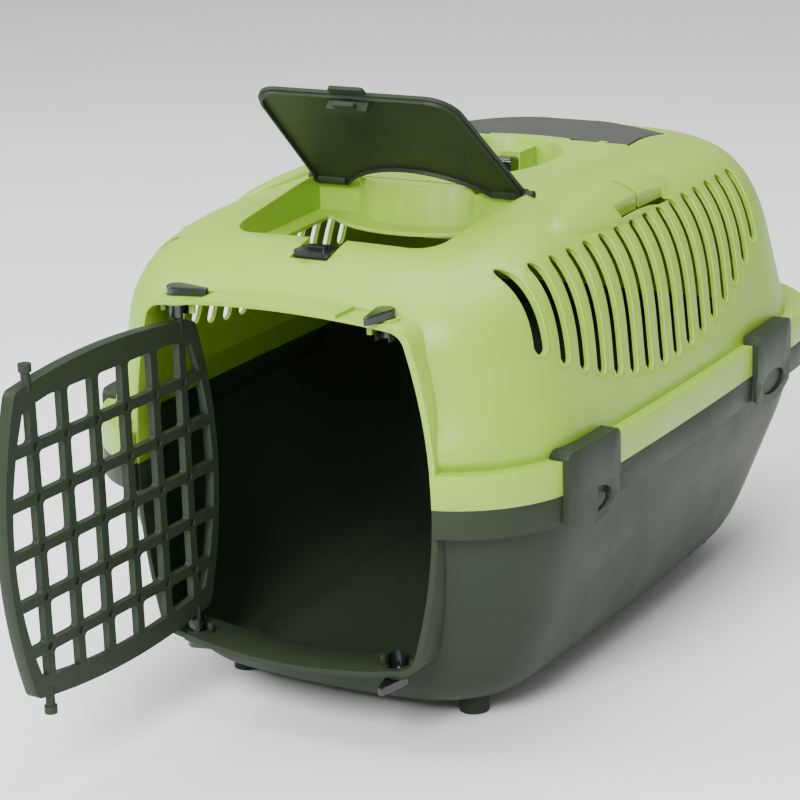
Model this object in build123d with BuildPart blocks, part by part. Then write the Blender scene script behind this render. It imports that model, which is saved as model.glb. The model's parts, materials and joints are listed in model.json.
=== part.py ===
"""Plastic pet carrier: two moulded half shells, a grille door, a top hatch, a storage lid and side clips.

Lengths are in millimetres. X runs to the carrier's right, Y from the door to the rear, Z up from the floor.
The pieces stand as in the photograph: door and hatch open, right-hand latches turned out, the rest closed.
"""
import os
from math import cos, radians, sin

from build123d import *

os.makedirs("parts", exist_ok=True)

# Body
body_width = 360
body_length = 550
body_y = 83.3
wall = 2.6
parting_z = 171
shell_band_height = 22
tray_band_height = 19
ledge = 8
side_bow = 7
end_bow = 14
front_corner = 84
back_corner = 104
running_gap = 0.3
pin_gap = 0.08

half_width = body_width / 2
front_y = body_y - body_length / 2
back_y = body_y + body_length / 2
shell_band_top = parting_z + shell_band_height
tray_band_bottom = parting_z - tray_band_height

# Doorway and its frame
door_half_width = 110
door_half_height = 118
door_corner_half = 93
door_crown = 8
door_corner_radius = 13
frame_wall = 3.6
frame_depth = 36
frame_bow = 12
door_plane_y = front_y + 18

# Door
door_gap = 2.4
door_angle = 92
pin_half = 77
pin_radius = 3
pin_head_radius = 4.2
pin_head_height = 5
pin_root = 3
pin_top_z = parting_z + 108
pin_bottom_z = parting_z - 112
door_thickness = 5
door_rim = 6
door_margin = 13
door_flange = 3
door_rim_depth = 9
door_top_drop = 12
door_middle_z = parting_z - 2.2
bar = 6.8
bar_columns = 6
bar_rows = 5
column_pitch = 30.2
row_pitch = 32.1
row_middle_z = parting_z - 6
cell_radius = 3
dimple_radius = 2.6
dimple_depth = 1.6

# Latch levers
lever_length = 22
lever_thick = 5.5
lever_tip = 4
lever_edge = 1.2
barrel_radius = 6.8
barrel_drop = 15
socket_gap = 0.5
seat_z = parting_z + 117
low_seat_z = parting_z - 119.5
peg_radius = 2.2
peg_reach = 11
peg_length = 6
seat_depth = 6

# Handle well and handle
well_half_length = 70
well_half_width = 54
well_y = body_y + 15
well_floor_z = 289
crown_z = 330
handle_z = 317
handle_half_length = 42
handle_reach = 36
handle_width = 15
handle_arm = 12
handle_corner = 20
handle_edge = 3
handle_gap = 1
handle_height = 11
handle_pin_radius = 4
handle_pin_length = 7
post_height = 36

# Top hatch
hatch_y = body_y - 74
hatch_z = 327
hatch_back = 4
hatch_half_width = 82
hatch_front_half = 75
hatch_length = 119
hatch_open = 41.5
hatch_thickness = 2.6
hatch_corner = 20
hatch_gap = 1.5
hatch_lip_height = 2.4
arch_half = 52
arch_depth = 22
opening_margin = 15
recess_floor_z = 303
hatch_pin_radius = 3
hatch_pin_length = 5
hatch_knuckle_radius = 3.8
hatch_lip = 1.6
hatch_lip_inset = 1.4
hatch_arch_play = 2.4
tab_width = 26
tab_reach = 6
hook_width = 30
hook_depth = 9
hook_thickness = 5
hook_nose = 3
notch_half_width = 14
notch_depth = 27
notch_floor_z = 308
catch_height = 5
catch_length = 18
catch_corner = 3
catch_travel = 5
catch_tongue = 4

# Storage box
storage_front_y = body_y + 88
storage_back_y = body_y + 168
storage_half_width = 80
storage_lid_thickness = 2.6
storage_floor_z = 285
storage_rim_z = 311
storage_ledge = 4
storage_gap = 1.2
storage_clearance = 0.6
storage_pin_radius = 1.2
storage_hinge_x = 59
storage_hinge_y = storage_front_y + 1.7
storage_hinge_z = 327.5
ear_width = 6
ear_depth = 3.8
hinge_groove_radius = 3.3
hinge_groove_start = 32.4
finger_width = 42
finger_depth = 8

# Belt guides on the shoulders
belt_x = 134
belt_y = body_y - 6
belt_leg = 78
belt_width = 7
belt_entry = 26
belt_entry_width = 4.5
pad_x = 122
pad_y = body_y - 27
pad_z = 313.5
pad_lean = 30
pad_size = (19, 86, 8)

# Side vents
vent_count = 16
vent_pitch = 21.8
vent_width = 11
vent_first_y = body_y - 194
vent_top_z = 307
vent_middle_z = 212
vent_end_z = 262
vent_tilt = 10
vent_inner_x = 95

# Side clips
clip_width = 66
clip_thickness = 4
clip_top_z = shell_band_top + 6
clip_crease_z = parting_z - 2
clip_step = 1
clip_bottom_z = tray_band_bottom - 8
clip_bottom_bow = 8
clip_dish = (21, 8.5)
clip_dish_depth = 0.8
clip_pivot_z = parting_z - 7
clip_pin_radius = 1.1
clip_pin_length = 3
clip_corner = 6
clip_boss_half = 3
pocket_gap = 0.5
hook_gap = 1.2
rail_height = 3

# Feet
foot_radius = 10
foot_x = 89.5
foot_spread = 180
tray_bottom_z = 13
foot_height = 26


def plan(inset_side, inset_front, inset_back, front_radius, back_radius, trim=0.0):
    """A level outline of the body: four bowed sides and rounded corners, drawn inside the rim's outline."""
    across = half_width - inset_side - trim
    front = front_y + inset_front + trim
    back = back_y - inset_back - trim
    middle = (front + back) / 2
    with BuildSketch(mode=Mode.PRIVATE) as outline:
        with BuildLine():
            corner = across - side_bow
            ThreePointArc((-corner, front + end_bow), (0, front), (corner, front + end_bow))
            ThreePointArc((corner, front + end_bow), (across, middle), (corner, back - end_bow))
            ThreePointArc((corner, back - end_bow), (0, back), (-corner, back - end_bow))
            ThreePointArc((-corner, back - end_bow), (-across, middle), (-corner, front + end_bow))
        make_face()
        fillet(outline.vertices().group_by(Axis.Y)[0], front_radius - trim)
        fillet(outline.vertices().group_by(Axis.Y)[-1], back_radius - trim)
    return outline.sketch


def rim_plan(trim=0.0):
    """The outline of the rim band, trimmed inwards."""
    return plan(0, 0, 0, front_corner, back_corner, trim)


def doorway(grow):
    """The barrel-shaped outline of the doorway, grown outwards, drawn in the door's upright plane."""
    side = door_half_width + grow
    corner = door_corner_half + grow
    high = door_half_height + grow
    with BuildSketch(mode=Mode.PRIVATE) as outline:
        with BuildLine():
            ThreePointArc((-corner, high - door_crown), (0, high), (corner, high - door_crown))
            ThreePointArc((corner, high - door_crown), (side, 0), (corner, door_crown - high))
            ThreePointArc((corner, door_crown - high), (0, -high), (-corner, door_crown - high))
            ThreePointArc((-corner, door_crown - high), (-side, 0), (-corner, high - door_crown))
        make_face()
        fillet(outline.vertices(), door_corner_radius + grow)
    return outline.sketch


def door_outline(inset, margin=0.0):
    """The door's own outline, inside the doorway and short of it at top and bottom."""
    side = door_half_width - door_gap - inset
    corner = door_corner_half - door_gap - inset
    high = door_half_height - door_top_drop - max(inset, margin)
    with BuildSketch(mode=Mode.PRIVATE) as outline:
        with BuildLine():
            ThreePointArc((-corner, high - door_crown), (0, high), (corner, high - door_crown))
            ThreePointArc((corner, high - door_crown), (side, 0), (corner, door_crown - high))
            ThreePointArc((corner, door_crown - high), (0, -high), (-corner, door_crown - high))
            ThreePointArc((-corner, door_crown - high), (-side, 0), (-corner, high - door_crown))
        make_face()
        fillet(outline.vertices(), door_corner_radius / 2)
    return outline.sketch


def front_plane(y):
    """An upright plane facing the door side, with its centre on the parting line."""
    return Plane(origin=(0, y, parting_z), x_dir=(1, 0, 0), z_dir=(0, -1, 0))


# Level slices of the body: height, how far its sides, front and rear stand in from the rim, corner radii
dome_levels = [
    (shell_band_top, 8, 9, 12, 86, 120),
    (225, 12, 11, 19, 90, 120),
    (258, 18, 14, 27, 88, 115),
    (285, 27, 22, 37, 84, 105),
    (305, 41, 46, 48, 78, 95),
    (318, 63, 88, 67, 74, 82),
    (327, 92, 138, 104, 60, 66),
    (332, 122, 188, 146, 44, 48),
]
tray_levels = [
    (tray_bottom_z, 72, 66, 90, 50, 60),
    (24, 52, 45, 68, 62, 75),
    (50, 37, 30, 50, 72, 90),
    (100, 20, 19, 25, 80, 104),
    (tray_band_bottom, 8, 10, 9, 84, 108),
]


def dome(trim):
    """The upper body as a solid above the rim band, trimmed inwards on every side."""
    with BuildPart(mode=Mode.PRIVATE) as solid:
        for height, *insets in dome_levels:
            lowered = height - trim if height > shell_band_top else height
            with BuildSketch(Plane.XY.offset(lowered)):
                add(plan(*insets, trim))
        loft()
        split(bisect_by=Plane.XY.offset(crown_z - trim), keep=Keep.BOTTOM)
    return solid.part


def bowl(trim):
    """The lower body as a solid below the rim band, trimmed inwards on every side."""
    with BuildPart(mode=Mode.PRIVATE) as solid:
        for height, *insets in tray_levels:
            raised = height + trim if height < tray_band_bottom else height
            with BuildSketch(Plane.XY.offset(raised)):
                add(plan(*insets, trim))
        loft()
    return solid.part


def door_frame(keep):
    """One half of the collar round the doorway, split at the parting line."""
    with BuildPart(mode=Mode.PRIVATE) as collar:
        with BuildSketch(front_plane(front_y)):
            add(doorway(frame_wall))
            add(doorway(0), mode=Mode.SUBTRACT)
        extrude(amount=-frame_depth)
        # Its front edge is bowed back at the sides, as the body is
        with BuildSketch(Plane.XY):
            with BuildLine():
                side = door_half_width + 3 * frame_wall
                Line((-side, front_y + frame_depth), (-side, front_y + frame_bow))
                ThreePointArc((-side, front_y + frame_bow), (0, front_y), (side, front_y + frame_bow))
                Line((side, front_y + frame_bow), (side, front_y + frame_depth))
                Line((side, front_y + frame_depth), (-side, front_y + frame_depth))
            make_face()
        extrude(amount=crown_z, mode=Mode.INTERSECT)
        split(bisect_by=Plane.XY.offset(parting_z), keep=keep)
    return collar.part


def lever_sweeps():
    """The flats beside both pivots that the latch levers turn over."""
    sweep = lever_length + lever_tip
    width = sweep + barrel_radius + pocket_gap
    middle = (sweep - barrel_radius) / 2
    with BuildSketch(mode=Mode.PRIVATE) as flats:
        for side in (-1, 1):
            with Locations((side * (pin_half - middle), door_plane_y - middle)):
                Rectangle(width, width)
    return flats.sketch


def hatch_outline(grow):
    """The hatch in its own plane: hinge line on X, free edge at minus Y, an arch in the hinge edge."""
    rear = hatch_half_width + grow
    fore = hatch_front_half + grow
    reach = hatch_length + grow
    arch_radius = (arch_half**2 + arch_depth**2) / (2 * arch_depth)
    with BuildSketch(mode=Mode.PRIVATE) as outline:
        with BuildLine():
            heel = hatch_back + grow
            Polyline((-rear, heel), (-fore, -reach), (fore, -reach), (rear, heel), close=True)
        make_face()
        fillet(outline.vertices().group_by(Axis.Y)[0], hatch_corner)
        with Locations((0, arch_radius - arch_depth)):
            Circle(arch_radius - grow - (hatch_arch_play if grow > 0 else 0), mode=Mode.SUBTRACT)
    return outline.sketch


def storage_outline(grow):
    """The storage lid's outline from above, with its front edge curved round the handle well."""
    arc_half = storage_half_width * 0.6
    with BuildSketch(mode=Mode.PRIVATE) as outline:
        with BuildLine():
            front = storage_front_y - grow
            back = storage_back_y + grow
            side = storage_half_width + grow
            ThreePointArc((-arc_half, front), (0, front + 9), (arc_half, front))
            Line((arc_half, front), (side, front))
            Line((side, front), (side - 6, back - 4))
            ThreePointArc((side - 6, back - 4), (0, back), (6 - side, back - 4))
            Line((6 - side, back - 4), (-side, front))
            Line((-side, front), (-arc_half, front))
        make_face()
    return outline.sketch


outer_dome = dome(0)
notch_y = hatch_y - hatch_length - hatch_gap - notch_depth / 2 + 1

# The thin skin of the dome that the storage lid replaces
with BuildPart() as storage_rebate:
    with BuildSketch(Plane.XY.offset(storage_rim_z)):
        add(storage_outline(storage_gap))
    extrude(amount=crown_z - storage_rim_z)
    add(dome(storage_lid_thickness + storage_clearance), mode=Mode.SUBTRACT)

# Where each clip pivots: sign of the side, distance from the middle plane, Y and the turn of the rim there
clip_seats = {
    "clip_front_left": (-1, half_width - 6.5, body_y - 177, 5.4),
    "clip_front_right": (1, half_width - 6.5, body_y - 177, 5.4),
    "clip_rear_left": (-1, half_width - 2.6, body_y + 113, -1.5),
    "clip_rear_right": (1, half_width - 2.6, body_y + 113, -1.5),
}


def clip_plane(seat):
    """The upright plane through a clip's pivot line: local X along the rim, local Y up, normal outwards."""
    side, across, along, turn = seat
    outward = (side * cos(radians(turn)), -sin(radians(turn)), 0)
    rim = (sin(radians(turn)), side * cos(radians(turn)), 0)
    return Plane(origin=(side * across, along, clip_pivot_z), x_dir=rim, z_dir=outward)


def rim_ring(outer_trim, inner_trim, low, high):
    """A level ring that follows the rim, from the body's wall outwards."""
    with BuildPart(mode=Mode.PRIVATE) as ring:
        with BuildSketch(Plane.XY.offset(low)):
            add(rim_plan(outer_trim))
            add(plan(*tray_levels[-1][1:], inner_trim), mode=Mode.SUBTRACT)
        extrude(amount=high - low)
    return ring.part


def clip_outline(side, half, corner):
    """A clip seen from its side of the body: rounded at the top, bowed out along the bottom."""
    with BuildSketch(mode=Mode.PRIVATE) as outline:
        with BuildLine():
            heel = clip_bottom_bow - half
            Polyline((-side, heel), (-side, half), (side, half), (side, heel))
            ThreePointArc((side, heel), (0, -half), (-side, heel))
        make_face()
        fillet(outline.vertices().group_by(Axis.Y)[-1], corner)
        fillet(outline.vertices().group_by(Axis.Y)[0], corner / 2)
    return outline.sketch


def at_clip(seat, ring, grow, low, high, corner=0.0):
    """The stretch of a ring that lies behind or under one clip."""
    with BuildPart(mode=Mode.PRIVATE) as block:
        with BuildSketch(clip_plane(seat)):
            with Locations((0, (low + high) / 2 - clip_pivot_z)):
                if corner:
                    add(clip_outline(clip_width / 2, (high - low) / 2, corner))
                else:
                    Rectangle(clip_width + 2 * grow, high - low)
        extrude(amount=3 * ledge, both=True)
        add(ring, mode=Mode.INTERSECT)
    return block.part


# Blocks under the top surface that the wells are sunk into
with BuildPart() as tubs:
    with BuildSketch(Plane.XY.offset(well_floor_z - wall)):
        with Locations((0, well_y)):
            Ellipse(well_half_width + wall, well_half_length + wall)
    extrude(amount=crown_z - well_floor_z + wall)
    with BuildSketch(Plane(origin=(0, hatch_y, recess_floor_z - wall))):
        add(hatch_outline(hatch_gap + wall))
    extrude(amount=crown_z - recess_floor_z + wall)
    with BuildSketch(Plane.XY.offset(storage_floor_z - wall)):
        add(storage_outline(wall - storage_ledge))
    extrude(amount=crown_z - storage_floor_z + wall)
    with BuildSketch(Plane.XY.offset(storage_rim_z)):
        add(storage_outline(storage_gap + wall))
    extrude(amount=crown_z - storage_rim_z)
    with BuildSketch(Plane.XY.offset(notch_floor_z - wall)):
        with Locations((0, notch_y)):
            Rectangle(2 * (notch_half_width + wall), notch_depth + 2 * wall)
    extrude(amount=crown_z - notch_floor_z + wall)
    add(outer_dome, mode=Mode.INTERSECT)

# A smooth swelling of each shoulder round its belt guide
with BuildPart() as belt_pad:
    Sphere(1)
    scale(by=pad_size)

with BuildPart() as top_shell:
    add(outer_dome)
    with BuildSketch(Plane.XY.offset(parting_z)):
        add(rim_plan())
    extrude(amount=shell_band_height)
    for side in (-1, 1):
        with Locations(Location((side * pad_x, pad_y, pad_z), (0, side * pad_lean, 0))):
            add(belt_pad.part)
    add(dome(wall), mode=Mode.SUBTRACT)
    with BuildSketch(Plane.XY.offset(parting_z)):
        add(rim_plan(wall))
    extrude(amount=shell_band_height - wall, mode=Mode.SUBTRACT)
    with BuildSketch(Plane.XY.offset(parting_z)):
        add(plan(*dome_levels[0][1:], wall))
    extrude(amount=shell_band_height, mode=Mode.SUBTRACT)
    add(tubs.part)
    # Handle well, hatch recess with its opening, and storage well
    with BuildSketch(Plane.XY.offset(well_floor_z)):
        with Locations((0, well_y)):
            Ellipse(well_half_width, well_half_length)
    extrude(amount=crown_z - well_floor_z, mode=Mode.SUBTRACT)
    with BuildSketch(Plane(origin=(0, hatch_y, recess_floor_z))):
        add(hatch_outline(hatch_gap))
    extrude(amount=crown_z - recess_floor_z, mode=Mode.SUBTRACT)
    with BuildSketch(Plane(origin=(0, hatch_y, recess_floor_z - wall - 1))):
        add(hatch_outline(-opening_margin))
    extrude(amount=wall + 2, mode=Mode.SUBTRACT)
    with BuildSketch(Plane.XY.offset(storage_floor_z)):
        add(storage_outline(-storage_ledge))
    extrude(amount=crown_z - storage_floor_z, mode=Mode.SUBTRACT)
    add(storage_rebate.part, mode=Mode.SUBTRACT)
    with BuildSketch(Plane.XY.offset(notch_floor_z)):
        with Locations((0, notch_y)):
            Rectangle(2 * notch_half_width, notch_depth)
    extrude(amount=crown_z - notch_floor_z, mode=Mode.SUBTRACT)
    with Locations((0, hatch_y, hatch_z)):
        Cylinder(hatch_pin_radius + pin_gap, 2 * hatch_half_width + 4 * hatch_pin_length,
                 rotation=(0, 90, 0), mode=Mode.SUBTRACT)
    # Posts at both ends of the well that carry the handle
    for end in (-1, 1):
        with BuildSketch(Plane(origin=(0, well_y + end * (handle_half_length + handle_gap), well_floor_z),
                               x_dir=(1, 0, 0), z_dir=(0, end, 0))):
            with Locations((0, end * -post_height / 2)):
                Rectangle(handle_width + 2, post_height)
        extrude(amount=well_half_length - handle_half_length - 3)
    with Locations((0, well_y, handle_z)):
        Cylinder(handle_pin_radius + pin_gap, 2 * (handle_half_length + handle_gap + handle_pin_length),
                 rotation=(90, 0, 0), mode=Mode.SUBTRACT)
    # A round groove under each half of the lid's hinge line, where the lid's edge turns
    groove_end = storage_half_width - pin_gap
    groove_length = groove_end - hinge_groove_start
    for side in (-1, 1):
        with Locations((side * (groove_end - groove_length / 2), storage_hinge_y, storage_hinge_z)):
            Cylinder(hinge_groove_radius, groove_length, rotation=(0, 90, 0), mode=Mode.SUBTRACT)
    # Two ears in the storage well that hold the lid's hinge pins
    with BuildSketch(Plane.XY.offset(storage_rim_z)):
        for side in (-1, 1):
            with Locations((side * storage_hinge_x, storage_hinge_y)):
                Rectangle(ear_width, 2 * ear_depth)
    extrude(amount=storage_hinge_z + 2 * storage_pin_radius - storage_rim_z)
    with Locations((-storage_hinge_x, storage_hinge_y, storage_hinge_z),
                   (storage_hinge_x, storage_hinge_y, storage_hinge_z)):
        Cylinder(storage_pin_radius + pin_gap, 2 * ear_width + 1, rotation=(0, 90, 0), mode=Mode.SUBTRACT)
    # Door frame and doorway
    with BuildSketch(front_plane(front_y)):
        add(doorway(frame_wall / 2))
    extrude(amount=-frame_depth, mode=Mode.SUBTRACT)
    add(door_frame(Keep.TOP))
    # Bosses for the latch barrels, with stop pegs beside them
    with BuildSketch(Plane.XY.offset(seat_z)):
        with Locations((-pin_half, door_plane_y), (pin_half, door_plane_y)):
            Circle(barrel_radius + wall)
    extrude(amount=-seat_depth)
    with BuildSketch(Plane.XY.offset(seat_z - seat_depth)):
        for centre in (-pin_half, pin_half):
            with Locations((centre - peg_reach, door_plane_y), (centre + peg_reach, door_plane_y)):
                Circle(peg_radius)
    extrude(amount=-peg_length)
    with Locations((-pin_half, door_plane_y, seat_z), (pin_half, door_plane_y, seat_z)):
        Cylinder(barrel_radius + running_gap, 8 * seat_depth, mode=Mode.SUBTRACT)
    with BuildSketch(Plane.XY.offset(seat_z)):
        add(lever_sweeps())
    extrude(amount=lever_thick + 1, mode=Mode.SUBTRACT)
    # T-shaped belt slots: a long leg for the belt and a narrow way in from above
    with BuildSketch(Plane.XY.offset(vent_end_z)):
        for side in (-1, 1):
            with Locations((side * belt_x, belt_y)):
                Rectangle(belt_width, belt_leg)
            with Locations((side * (belt_x - belt_entry / 2), belt_y)):
                Rectangle(belt_entry, belt_entry_width)
    extrude(amount=crown_z - vent_end_z, mode=Mode.SUBTRACT)
    # Upright vents in each side wall, the middle ones longest
    for side in (-1, 1):
        vent_plane = Plane(origin=(side * vent_inner_x, 0, 0), x_dir=(0, side, 0), z_dir=(side, 0, 0))
        with BuildSketch(vent_plane):
            for index in range(vent_count):
                place = (2 * index + 1 - vent_count) / vent_count
                low = vent_middle_z + (vent_end_z - vent_middle_z) * place**2
                with Locations((side * (vent_first_y + index * vent_pitch), (low + vent_top_z) / 2)):
                    SlotOverall(vent_top_z - low, vent_width, rotation=90 - side * vent_tilt)
        extrude(amount=half_width - vent_inner_x + ledge, mode=Mode.SUBTRACT)
    top_shell.part.label = "top_shell"

with BuildPart() as base_tray:
    add(bowl(0))
    with BuildSketch(Plane.XY.offset(tray_band_bottom)):
        add(rim_plan())
    extrude(amount=tray_band_height)
    add(bowl(wall), mode=Mode.SUBTRACT)
    with BuildSketch(Plane.XY.offset(tray_band_bottom + wall)):
        add(rim_plan(wall))
    extrude(amount=tray_band_height - wall, mode=Mode.SUBTRACT)
    with BuildSketch(Plane.XY.offset(tray_band_bottom)):
        add(plan(*tray_levels[-1][1:], wall))
    extrude(amount=tray_band_height, mode=Mode.SUBTRACT)
    # Clip pockets: the wall behind each clip runs straight up to the rim
    backing = rim_ring(0, wall, tray_band_bottom, parting_z)
    pocket = rim_ring(-1, 0, tray_band_bottom - 1, parting_z - rail_height)
    for seat in clip_seats.values():
        add(at_clip(seat, backing, wall + pocket_gap, tray_band_bottom, parting_z))
        window = at_clip(seat, pocket, pocket_gap, tray_band_bottom - 1, parting_z - rail_height)
        add(window, mode=Mode.SUBTRACT)
        with BuildSketch(Plane(origin=clip_plane(seat).origin, z_dir=clip_plane(seat).x_dir)):
            Circle(clip_pin_radius + pin_gap)
        extrude(amount=clip_width / 2 + pocket_gap + clip_pin_length, both=True, mode=Mode.SUBTRACT)
    # Doorway and the lower half of its frame
    with BuildSketch(front_plane(front_y)):
        add(doorway(frame_wall / 2))
    extrude(amount=-frame_depth, mode=Mode.SUBTRACT)
    add(door_frame(Keep.BOTTOM))
    with BuildSketch(Plane.XY.offset(low_seat_z)):
        with Locations((-pin_half, door_plane_y), (pin_half, door_plane_y)):
            Circle(barrel_radius + wall)
    extrude(amount=seat_depth)
    with BuildSketch(Plane.XY.offset(low_seat_z + seat_depth)):
        for centre in (-pin_half, pin_half):
            with Locations((centre - peg_reach, door_plane_y), (centre + peg_reach, door_plane_y)):
                Circle(peg_radius)
    extrude(amount=peg_length)
    with Locations((-pin_half, door_plane_y, low_seat_z), (pin_half, door_plane_y, low_seat_z)):
        Cylinder(barrel_radius + running_gap, 8 * seat_depth, mode=Mode.SUBTRACT)
    with BuildSketch(Plane.XY.offset(low_seat_z)):
        add(lever_sweeps())
    extrude(amount=-lever_thick - 1, mode=Mode.SUBTRACT)
    # Four round feet
    with BuildSketch(Plane.XY):
        with Locations((0, body_y)):
            with GridLocations(2 * foot_x, 2 * foot_spread, 2, 2):
                Circle(foot_radius)
    extrude(amount=foot_height)
    base_tray.part.label = "base_tray"

# The door stands open about its pins on the left
swing = radians(door_angle)
door_plane = Plane(origin=(-pin_half, door_plane_y, 0), x_dir=(cos(swing), -sin(swing), 0),
                   z_dir=(-sin(swing), -cos(swing), 0))
with BuildSketch() as windows:
    with Locations((pin_half, row_middle_z)):
        with GridLocations(column_pitch, row_pitch, bar_columns + 1, bar_rows + 1):
            RectangleRounded(column_pitch - bar, row_pitch - bar, cell_radius)
    with Locations((pin_half, door_middle_z)):
        add(door_outline(door_rim, door_margin), mode=Mode.INTERSECT)

with BuildPart() as door_grille:
    with BuildSketch(door_plane):
        with Locations((pin_half, door_middle_z)):
            add(door_outline(0))
    extrude(amount=door_thickness / 2, both=True)
    with BuildSketch(door_plane.offset(door_thickness / 2)):
        with Locations((pin_half, door_middle_z)):
            add(door_outline(0))
            add(door_outline(door_flange), mode=Mode.SUBTRACT)
    extrude(amount=door_rim_depth - door_thickness)
    # Windows between the bars, cut off by the rim
    with BuildSketch(door_plane.offset(-door_thickness)):
        add([window for window in windows.faces() if window.area > bar**2])
    extrude(amount=2 * door_thickness, mode=Mode.SUBTRACT)
    with BuildSketch(door_plane.offset(-door_thickness / 2)):
        with Locations((pin_half, row_middle_z)):
            with GridLocations(column_pitch, row_pitch, bar_columns, bar_rows):
                Circle(dimple_radius)
    extrude(amount=dimple_depth, mode=Mode.SUBTRACT)
    door_edge_half = door_half_height - door_top_drop - door_crown
    # Headed pins that stand out of the top and bottom edges
    for end, height in ((1, pin_top_z), (-1, pin_bottom_z)):
        pin_foot = door_plane.from_local_coords((0, height, 0))
        pin_plane = Plane(origin=pin_foot, x_dir=door_plane.x_dir, z_dir=(0, 0, end))
        with BuildSketch(pin_plane):
            with Locations((0, 0), (2 * pin_half, 0)):
                Circle(pin_radius)
        extrude(amount=-(abs(height - door_middle_z) - door_edge_half + pin_root))
        with BuildSketch(pin_plane.offset(-pin_head_height / 2)):
            with Locations((0, 0), (2 * pin_half, 0)):
                Circle(pin_head_radius)
        extrude(amount=pin_head_height)
    door_grille.part.label = "door_grille"


def latch(centre, seat, pin_z, turn, up):
    """A latch lever: a tapered finger on a barrel whose open socket holds a door pin."""
    base = Plane(origin=(centre, door_plane_y, seat + up * running_gap),
                 x_dir=(cos(radians(turn)), sin(radians(turn)), 0), z_dir=(0, 0, up))
    socket_depth = barrel_drop - abs(seat - pin_z) + pin_head_height / 2 + 2 * socket_gap
    socket_radius = pin_head_radius + socket_gap
    with BuildPart() as lever:
        with BuildSketch(base):
            Circle(barrel_radius)
            with Locations((lever_length, 0)):
                Circle(lever_tip / 2)
            make_hull()
        extrude(amount=lever_thick)
        fillet(lever.faces().sort_by(Axis.Z)[-1 if up > 0 else 0].edges(), lever_edge)
        with BuildSketch(base):
            Circle(barrel_radius)
        extrude(amount=-barrel_drop)
        with BuildSketch(base.offset(-barrel_drop)):
            Circle(socket_radius)
            with Locations((barrel_radius, 0)):
                Rectangle(2 * barrel_radius, 2 * socket_radius)
        extrude(amount=socket_depth, mode=Mode.SUBTRACT)
    return lever.part


latches = {
    "latch_top_left": latch(-pin_half, seat_z, pin_top_z, 0, 1),
    "latch_top_right": latch(pin_half, seat_z, pin_top_z, -90, 1),
    "latch_bottom_left": latch(-pin_half, low_seat_z, pin_bottom_z, 0, -1),
    "latch_bottom_right": latch(pin_half, low_seat_z, pin_bottom_z, -90, -1),
}

# The hatch stands open about the hinge line at its rear edge
tilt = radians(hatch_open)
hatch_plane = Plane(origin=(0, hatch_y, hatch_z), x_dir=(1, 0, 0), z_dir=(0, sin(tilt), cos(tilt)))
with BuildPart() as top_hatch:
    with BuildSketch(hatch_plane):
        add(hatch_outline(0))
        with Locations((0, -hatch_length)):
            RectangleRounded(tab_width, 2 * tab_reach, 2)
    extrude(amount=hatch_thickness / 2, both=True)
    with BuildSketch(hatch_plane.offset(-hatch_thickness / 2)):
        add(hatch_outline(-hatch_lip_inset))
        add(hatch_outline(-hatch_lip_inset - hatch_lip), mode=Mode.SUBTRACT)
    extrude(amount=-hatch_lip_height)
    # Hook block behind the tab, with a nose that passes under the catch
    with BuildSketch(hatch_plane.offset(-hatch_thickness / 2)):
        with Locations((0, hatch_lip_inset + hook_thickness - hatch_length)):
            Rectangle(hook_width, hook_thickness)
    extrude(amount=-hook_depth)
    with BuildSketch(hatch_plane.offset(-hatch_thickness / 2 - hook_depth)):
        with Locations((0, hatch_lip_inset + hook_thickness / 2 - hatch_length)):
            Rectangle(hook_width / 2, 2 * hook_thickness)
    extrude(amount=hook_nose)
    # Knuckles on both sides of the arch, ending in pins
    for side in (-1, 1):
        knuckle_foot = (side * (arch_half + 2 * wall), hatch_y, hatch_z)
        with BuildSketch(Plane(origin=knuckle_foot, z_dir=(side, 0, 0))):
            Circle(hatch_knuckle_radius)
        extrude(amount=hatch_half_width - arch_half - 2 * wall)
        pin_foot = (side * (hatch_half_width - wall), hatch_y, hatch_z)
        with BuildSketch(Plane(origin=pin_foot, z_dir=(side, 0, 0))):
            Circle(hatch_pin_radius)
        extrude(amount=hatch_pin_length + wall)
    top_hatch.part.label = "top_hatch"

# Sliding catch in the notch, drawn back; pushed forward, its tongue lies over the hook's nose
catch_y = hatch_y - hatch_length - hatch_gap - catch_travel
with BuildPart() as hatch_catch:
    with BuildSketch(Plane.XY.offset(notch_floor_z + running_gap)):
        with Locations((0, catch_y - catch_length / 2)):
            RectangleRounded(2 * (notch_half_width - running_gap), catch_length, catch_corner)
    extrude(amount=catch_height)
    with BuildSketch(Plane.XY.offset(notch_floor_z + catch_height / 2)):
        with Locations((0, catch_y)):
            Rectangle(hook_width / 2, 2 * catch_tongue)
    extrude(amount=catch_height / 2)
    with BuildSketch(Plane.XY.offset(notch_floor_z + catch_height)):
        with Locations((0, catch_y - catch_length / 2)):
            RectangleRounded(notch_half_width, catch_length / 3, catch_corner / 2)
    extrude(amount=catch_height / 2)
    hatch_catch.part.label = "hatch_catch"

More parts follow.
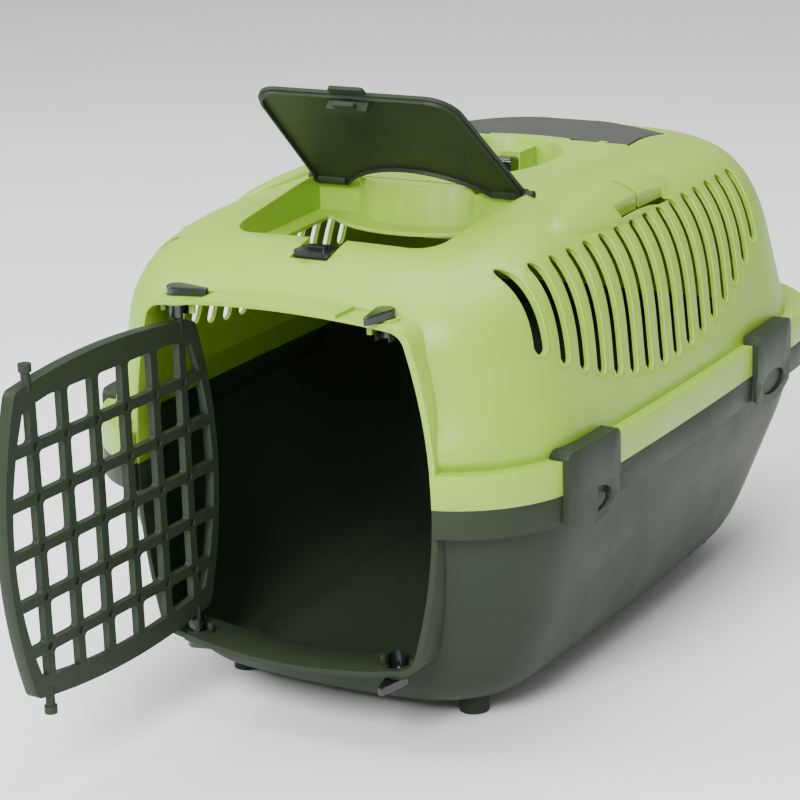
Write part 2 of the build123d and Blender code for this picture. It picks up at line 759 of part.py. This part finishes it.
# Carrying handle, folded down to the left
with BuildPart() as carry_handle:
    with BuildSketch(Plane.XY.offset(handle_z - handle_height / 2)):
        with Locations((-handle_reach / 2, well_y)):
            RectangleRounded(handle_reach + handle_width, 2 * handle_half_length, handle_corner)
        with Locations((0, well_y)):
            Rectangle(handle_width, 2 * handle_half_length)
        with Locations((-handle_reach / 2 + handle_width, well_y)):
            grip_half = handle_half_length - handle_arm
            Rectangle(handle_reach + handle_width, 2 * grip_half, mode=Mode.SUBTRACT)
    extrude(amount=handle_height)
    fillet(carry_handle.faces().sort_by(Axis.Z)[-1].edges(), handle_edge)
    fillet(carry_handle.faces().sort_by(Axis.Z)[0].edges(), handle_edge)
    with Locations((0, well_y, handle_z)):
        for end in (-1, 1):
            with Locations((0, end * (handle_half_length + handle_pin_length / 2 - 1), 0)):
                Cylinder(handle_pin_radius, handle_pin_length + 2 - handle_gap, rotation=(90, 0, 0))
    carry_handle.part.label = "carry_handle"

with BuildPart() as storage_lid:
    with BuildSketch(Plane.XY.offset(storage_rim_z)):
        add(storage_outline(0))
    extrude(amount=crown_z - storage_rim_z)
    add(outer_dome, mode=Mode.INTERSECT)
    add(dome(storage_lid_thickness), mode=Mode.SUBTRACT)
    # Finger tab at the rear edge
    with BuildSketch(Plane.XY.offset(storage_rim_z)):
        with Locations((0, storage_back_y - finger_depth / 2)):
            RectangleRounded(finger_width, finger_depth, 3)
    extrude(amount=crown_z - storage_rim_z, mode=Mode.SUBTRACT)
    # Notches round the ears, each crossed by a hinge pin
    with BuildSketch(Plane.XY.offset(storage_rim_z)):
        for side in (-1, 1):
            with Locations((side * storage_hinge_x, storage_hinge_y)):
                Rectangle(ear_width + 1, 2 * ear_depth + 2)
    extrude(amount=crown_z - storage_rim_z, mode=Mode.SUBTRACT)
    with Locations((-storage_hinge_x, storage_hinge_y, storage_hinge_z),
                   (storage_hinge_x, storage_hinge_y, storage_hinge_z)):
        Cylinder(storage_pin_radius, 2 * ear_width, rotation=(0, 90, 0))
    storage_lid.part.label = "storage_lid"


def side_clip(seat):
    """A rocking clip: a plate over both rims, a hook on the ledge and a pivot boss in the tray's pocket."""
    outer = running_gap + clip_thickness
    with BuildPart(mode=Mode.PRIVATE) as plate:
        for low, high, face in ((clip_bottom_z, clip_crease_z, outer - clip_step), (clip_crease_z, clip_top_z, outer)):
            with BuildSketch(Plane.XY.offset(low)):
                add(rim_plan(-face))
                add(rim_plan(-running_gap), mode=Mode.SUBTRACT)
            extrude(amount=high - low)
        with BuildSketch(Plane.XY.offset(shell_band_top + running_gap)):
            add(rim_plan(-outer))
            add(plan(*dome_levels[0][1:], -hook_gap), mode=Mode.SUBTRACT)
        extrude(amount=clip_top_z - shell_band_top - running_gap)
    with BuildPart(mode=Mode.PRIVATE) as boss:
        with BuildSketch(Plane.XY.offset(clip_pivot_z - clip_boss_half)):
            add(rim_plan(-outer + 1))
            add(rim_plan(wall), mode=Mode.SUBTRACT)
        extrude(amount=2 * clip_boss_half)
    with BuildPart() as clip:
        add(at_clip(seat, plate.part, 0, clip_bottom_z, clip_top_z, clip_corner))
        add(at_clip(seat, boss.part, 0, clip_pivot_z - clip_boss_half, clip_pivot_z + clip_boss_half))
        with BuildSketch(Plane(origin=clip_plane(seat).origin, z_dir=clip_plane(seat).x_dir)):
            Circle(clip_pin_radius)
        extrude(amount=clip_width / 2 + pocket_gap + clip_pin_length - pocket_gap, both=True)
        # A shallow thumb dish in the lower half
        dish_height = (clip_crease_z + clip_bottom_z + clip_bottom_bow / 2) / 2 - clip_pivot_z
        with BuildSketch(clip_plane(seat).offset(outer - clip_step - clip_dish_depth)):
            with Locations((0, dish_height)):
                Ellipse(*clip_dish)
        extrude(amount=clip_thickness, mode=Mode.SUBTRACT)
    return clip.part


clips = {name: side_clip(seat) for name, seat in clip_seats.items()}

mouldings = (top_shell, base_tray, door_grille, top_hatch, hatch_catch, carry_handle, storage_lid)
pieces = {moulding.part.label: moulding.part for moulding in mouldings}
pieces.update(latches)
pieces.update(clips)
for name, piece in pieces.items():
    piece.label = name
    export_step(piece, f"parts/{name}.step")
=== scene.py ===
"""Plastic pet carrier: a light green shell on a dark green tray, with its door and top hatch open."""
import json
from math import cos, radians, sin

import bpy
from mathutils import Matrix, Vector
from mathutils.bvhtree import BVHTree


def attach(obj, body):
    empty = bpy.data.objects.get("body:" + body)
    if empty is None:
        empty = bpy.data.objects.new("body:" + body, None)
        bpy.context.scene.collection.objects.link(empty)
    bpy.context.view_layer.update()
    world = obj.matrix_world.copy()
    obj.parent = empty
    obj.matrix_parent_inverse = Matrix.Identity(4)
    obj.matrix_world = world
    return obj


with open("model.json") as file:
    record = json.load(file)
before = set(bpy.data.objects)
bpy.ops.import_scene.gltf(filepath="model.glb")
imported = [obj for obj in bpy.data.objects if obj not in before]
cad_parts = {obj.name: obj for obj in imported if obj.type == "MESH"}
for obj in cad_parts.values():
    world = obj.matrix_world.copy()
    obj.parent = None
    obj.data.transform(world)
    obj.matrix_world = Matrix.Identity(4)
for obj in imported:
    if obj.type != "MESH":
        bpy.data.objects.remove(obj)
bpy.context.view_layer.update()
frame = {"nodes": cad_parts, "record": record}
nodes = frame["nodes"]
MM = 0.001

# Side vents, as in the mouldings
BODY_Y = 83.3 * MM
VENT_COUNT = 16
VENT_PITCH = 21.8 * MM
VENT_WIDTH = 11 * MM
VENT_FIRST_Y = BODY_Y - 194 * MM
VENT_TOP_Z = 307 * MM
VENT_MIDDLE_Z = 212 * MM
VENT_END_Z = 262 * MM
VENT_TILT = radians(10)

# The lip round a vent: its stand-off and sink are shares of its radius, its angles are degrees from the rear side
LIP_RADIUS = 1.0 * MM
LIP_STAND_OFF = 0.6
LIP_SINK = 0.35
LIP_START = 120
LIP_END = -160
LIP_ARC_STEP = 20
LIP_SIDE_STEPS = 12
LIP_FACETS = 8
OUTSIDE_X = 250 * MM
WALL_LEAST_X = 90 * MM

# Camera, fitted to the photograph
CAMERA_PLACE = Vector((0.8778, BODY_Y - 1.6107, 0.7096))
CAMERA_TURN = 0.5295
CAMERA_PITCH = 0.2933
CAMERA_ROLL = -0.0358
CAMERA_LENS = 119.5
CAMERA_SENSOR = 36
CAMERA_SIGHT = 20

# Finishes, as linear colours
LIGHT_GREEN = (0.28, 0.47, 0.035)
LIGHT_GREEN_SHADE = (0.25, 0.43, 0.030)
DARK_GREEN = (0.024, 0.035, 0.021)
DARK_GREEN_SHADE = (0.020, 0.030, 0.017)
BLACK = (0.008, 0.008, 0.009)
LID_GREY = (0.040, 0.041, 0.034)

# Plastic: how far light spreads in it, and the scales of its cloudiness, its skin texture and its rubbed patches
PLASTIC_IOR = 1.49
GLOW_SPREAD = (1.0, 1.0, 0.35)
GLOW_DEPTH = 3 * MM
COAT_ROUGHNESS = 0.12
CLOUD_SCALE = 7
SKIN_SCALE = 1400
SKIN_DEPTH = 0.4 * MM
RUB_SCALE = 28
RUB_LOW, RUB_HIGH = 0.3, 0.7
RUB_SMOOTHER, RUB_ROUGHER = 0.04, 0.05

# Edges as a mould leaves them
WELD_DISTANCE = 0.01 * MM
SHARP_EDGE = radians(40)
EDGE_ROUND = {"light_green": 0.8 * MM, "dark_green": 0.8 * MM, "black": 0.5 * MM, "lid_grey": 0.6 * MM}

# Studio: each soft box has a name, a place, a width and a power in watts
FLOOR_REACH = 30
FLOOR_WHITE = (0.9, 0.9, 0.9, 1)
FLOOR_ROUGHNESS = 0.9
SURROUND_WHITE = (1, 1, 1, 1)
SURROUND_STRENGTH = 0.5
LIGHTS_AIM = (0, 0, 0.2)
SOFT_BOXES = (
    ("key", (0.5, -2.4, 1.9), 1.1, 130),
    ("left box", (-2.0, -1.0, 1.8), 1.4, 50),
    ("top", (0, 0.4, 2.8), 2.4, 90),
)


def noise(tree, scale, detail):
    """A noise texture."""
    texture = tree.nodes.new("ShaderNodeTexNoise")
    texture.inputs["Scale"].default_value = scale
    texture.inputs["Detail"].default_value = detail
    return texture


def moulded_plastic(name, colour, shade, roughness, grain=0.06, coat=0.0, sheen_level=0.5, glow=0.0):
    """Moulded plastic with a faint cloudiness, a fine skin texture and uneven gloss."""
    material = bpy.data.materials.new(name)
    material.use_nodes = True
    tree = material.node_tree
    shader = tree.nodes["Principled BSDF"]
    shader.inputs["IOR"].default_value = PLASTIC_IOR
    shader.inputs["Specular IOR Level"].default_value = sheen_level
    shader.inputs["Subsurface Weight"].default_value = glow
    shader.inputs["Subsurface Radius"].default_value = GLOW_SPREAD
    shader.inputs["Subsurface Scale"].default_value = GLOW_DEPTH
    shader.inputs["Coat Weight"].default_value = coat
    shader.inputs["Coat Roughness"].default_value = COAT_ROUGHNESS
    place = tree.nodes.new("ShaderNodeTexCoord")
    cloud = noise(tree, CLOUD_SCALE, 3)
    tone = tree.nodes.new("ShaderNodeMix")
    tone.data_type = "RGBA"
    tone.inputs["A"].default_value = (*colour, 1)
    tone.inputs["B"].default_value = (*shade, 1)
    skin = noise(tree, SKIN_SCALE, 2)
    relief = tree.nodes.new("ShaderNodeBump")
    relief.inputs["Strength"].default_value = grain
    relief.inputs["Distance"].default_value = SKIN_DEPTH
    rub = noise(tree, RUB_SCALE, 5)
    gloss = tree.nodes.new("ShaderNodeMapRange")
    gloss.inputs["From Min"].default_value = RUB_LOW
    gloss.inputs["From Max"].default_value = RUB_HIGH
    gloss.inputs["To Min"].default_value = roughness - RUB_SMOOTHER
    gloss.inputs["To Max"].default_value = roughness + RUB_ROUGHER
    link = tree.links.new
    for texture in (cloud, skin, rub):
        link(place.outputs["Object"], texture.inputs["Vector"])
    link(cloud.outputs["Fac"], tone.inputs["Factor"])
    link(tone.outputs["Result"], shader.inputs["Base Color"])
    link(skin.outputs["Fac"], relief.inputs["Height"])
    link(relief.outputs["Normal"], shader.inputs["Normal"])
    link(rub.outputs["Fac"], gloss.inputs["Value"])
    link(gloss.outputs["Result"], shader.inputs["Roughness"])
    return material


FINISH = {
    "light_green": moulded_plastic("light green polypropylene", LIGHT_GREEN, LIGHT_GREEN_SHADE, 0.38, glow=0.3),
    "dark_green": moulded_plastic("dark green polypropylene", DARK_GREEN, DARK_GREEN_SHADE, 0.46, sheen_level=0.16),
    "black": moulded_plastic("black latch plastic", BLACK, BLACK, 0.24, grain=0.02, coat=0.3),
    "lid_grey": moulded_plastic("smooth grey lid plastic", LID_GREY, LID_GREY, 0.38, grain=0.03, sheen_level=0.35),
}


def finish_nodes():
    """Each moulding gets its plastic, and its sharp edges are rounded as a mould leaves them."""
    for entry in frame["record"]["subparts"]:
        moulding = nodes[entry["node"]]
        moulding.data.materials.clear()
        moulding.data.materials.append(FINISH[entry["material_slot"]])
        weld = moulding.modifiers.new("weld", "WELD")
        weld.merge_threshold = WELD_DISTANCE
        bevel = moulding.modifiers.new("edges", "BEVEL")
        bevel.width = EDGE_ROUND[entry["material_slot"]]
        bevel.segments = 2
        bevel.limit_method = "ANGLE"
        bevel.angle_limit = SHARP_EDGE
        bevel.harden_normals = True


def surface_of(node):
    """A search tree over a moulding's faces."""
    mesh = nodes[node].data
    return BVHTree.FromPolygons([v.co.copy() for v in mesh.vertices], [tuple(f.vertices) for f in mesh.polygons])


def bead_tree(name, radius, material):
    """A Geometry Nodes tree that turns runs of edges into round beads with flat ends."""
    tree = bpy.data.node_groups.new(name, "GeometryNodeTree")
    tree.interface.new_socket("Geometry", in_out="INPUT", socket_type="NodeSocketGeometry")
    size = tree.interface.new_socket("Radius", in_out="INPUT", socket_type="NodeSocketFloat")
    tree.interface.new_socket("Geometry", in_out="OUTPUT", socket_type="NodeSocketGeometry")
    size.default_value = radius
    make = tree.nodes.new
    entry = make("NodeGroupInput")
    leave = make("NodeGroupOutput")
    to_curve = make("GeometryNodeMeshToCurve")
    profile = make("GeometryNodeCurvePrimitiveCircle")
    profile.inputs["Resolution"].default_value = LIP_FACETS
    sweep = make("GeometryNodeCurveToMesh")
    sweep.inputs["Fill Caps"].default_value = True
    shade = make("GeometryNodeSetShadeSmooth")
    realize = make("GeometryNodeRealizeInstances")
    paint = make("GeometryNodeSetMaterial")
    paint.inputs["Material"].default_value = material
    link = tree.links.new
    link(entry.outputs["Geometry"], to_curve.inputs["Mesh"])
    link(entry.outputs["Radius"], profile.inputs["Radius"])
    link(to_curve.outputs["Curve"], sweep.inputs["Curve"])
    link(profile.outputs["Curve"], sweep.inputs["Profile Curve"])
    link(sweep.outputs["Mesh"], shade.inputs["Geometry"])
    link(shade.outputs["Geometry"], realize.inputs["Geometry"])
    link(realize.outputs["Geometry"], paint.inputs["Geometry"])
    link(paint.outputs["Geometry"], leave.inputs["Geometry"])
    return tree, size.identifier


def beads(name, runs, radius, material, body):
    """Thin raised beads that follow runs of points, as one piece riding on a body."""
    points = []
    edges = []
    for run in runs:
        first = len(points)
        points += run
        edges += [(first + i, first + i + 1) for i in range(len(run) - 1)]
    guide_mesh = bpy.data.meshes.new(name)
    guide_mesh.from_pydata([tuple(p) for p in points], edges, [])
    guide = bpy.data.objects.new(name + "_guide", guide_mesh)
    bpy.context.scene.collection.objects.link(guide)
    tree, socket = bead_tree(name, radius, material)
    modifier = guide.modifiers.new("beads", "NODES")
    modifier.node_group = tree
    modifier[socket] = radius
    bpy.context.view_layer.update()
    mesh = bpy.data.meshes.new_from_object(guide.evaluated_get(bpy.context.evaluated_depsgraph_get()))
    bpy.data.objects.remove(guide)
    piece = bpy.data.objects.new(name, mesh)
    bpy.context.scene.collection.objects.link(piece)
    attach(piece, body)


def lip_outline(half):
    """A lip's way round one vent, as distances across and along it: over the top, down the rear, under the end."""
    reach = VENT_WIDTH / 2 + LIP_RADIUS * LIP_STAND_OFF
    over = [(reach * cos(radians(a)), half + reach * sin(radians(a))) for a in range(LIP_START, -1, -LIP_ARC_STEP)]
    down = [(reach, half - 2 * half * step / LIP_SIDE_STEPS) for step in range(1, LIP_SIDE_STEPS)]
    under = [(reach * cos(radians(a)), -half + reach * sin(radians(a))) for a in range(0, LIP_END - 1, -LIP_ARC_STEP)]
    return over + down + under


def vent_lips():
    """A thin lip round the rear side and the lower end of each vent, on the skin of both side walls."""
    skin = surface_of("top_shell")
    runs = []
    for side in (-1, 1):
        for index in range(VENT_COUNT):
            place = (2 * index + 1 - VENT_COUNT) / VENT_COUNT
            low = VENT_MIDDLE_Z + (VENT_END_Z - VENT_MIDDLE_Z) * place**2
            half = (VENT_TOP_Z - low) / 2 - VENT_WIDTH / 2
            centre_y = VENT_FIRST_Y + index * VENT_PITCH
            centre_z = (low + VENT_TOP_Z) / 2
            run = []
            for across, along in lip_outline(half):
                y = centre_y + across * cos(VENT_TILT) + along * sin(VENT_TILT)
                z = centre_z + along * cos(VENT_TILT) - across * sin(VENT_TILT)
                spot, outward, _, _ = skin.ray_cast(Vector((side * OUTSIDE_X, y, z)), Vector((-side, 0, 0)))
                if spot is not None and spot.x * side > WALL_LEAST_X:
                    run.append(spot - outward * LIP_RADIUS * LIP_SINK)
            runs.append(run)
    beads("vent_lips", runs, LIP_RADIUS, FINISH["light_green"], "carrier")


def set_camera():
    """The photograph's viewpoint."""
    back = Vector((sin(CAMERA_TURN) * cos(CAMERA_PITCH), -cos(CAMERA_TURN) * cos(CAMERA_PITCH), sin(CAMERA_PITCH)))
    right = Vector((cos(CAMERA_TURN), sin(CAMERA_TURN), 0))
    up = back.cross(right)
    across = cos(CAMERA_ROLL) * right + sin(CAMERA_ROLL) * up
    upward = cos(CAMERA_ROLL) * up - sin(CAMERA_ROLL) * right
    camera = bpy.data.objects.new("camera", bpy.data.cameras.new("camera"))
    camera.data.lens = CAMERA_LENS
    camera.data.sensor_width = CAMERA_SENSOR
    camera.data.clip_end = CAMERA_SIGHT
    turn = Matrix((across, upward, back)).transposed().to_4x4()
    camera.matrix_world = Matrix.Translation(CAMERA_PLACE) @ turn
    bpy.context.scene.collection.objects.link(camera)
    bpy.context.scene.camera = camera


def soft_light(name, place, size, power):
    """A square soft box aimed at the carrier."""
    lamp = bpy.data.lights.new(name, "AREA")
    lamp.size = size
    lamp.energy = power
    holder = bpy.data.objects.new(name, lamp)
    direction = Vector(LIGHTS_AIM) - Vector(place)
    holder.matrix_world = Matrix.Translation(place) @ direction.to_track_quat("-Z", "Y").to_matrix().to_4x4()
    bpy.context.scene.collection.objects.link(holder)


def set_studio():
    """A pale floor, a white surround, and soft boxes in front, on the left and above."""
    floor_mesh = bpy.data.meshes.new("floor")
    corners = [(x * FLOOR_REACH, y * FLOOR_REACH, 0) for x, y in ((-1, -1), (1, -1), (1, 1), (-1, 1))]
    floor_mesh.from_pydata(corners, [], [(0, 1, 2, 3)])
    floor = bpy.data.objects.new("floor", floor_mesh)
    bpy.context.scene.collection.objects.link(floor)
    paper = bpy.data.materials.new("white paper")
    paper.use_nodes = True
    shader = paper.node_tree.nodes["Principled BSDF"]
    shader.inputs["Base Color"].default_value = FLOOR_WHITE
    shader.inputs["Roughness"].default_value = FLOOR_ROUGHNESS
    floor_mesh.materials.append(paper)
    world = bpy.data.worlds.new("white surround")
    world.use_nodes = True
    backdrop = world.node_tree.nodes["Background"]
    backdrop.inputs["Color"].default_value = SURROUND_WHITE
    backdrop.inputs["Strength"].default_value = SURROUND_STRENGTH
    bpy.context.scene.world = world
    for name, place, size, power in SOFT_BOXES:
        soft_light(name, place, size, power)


vent_lips()
finish_nodes()
set_camera()
set_studio()
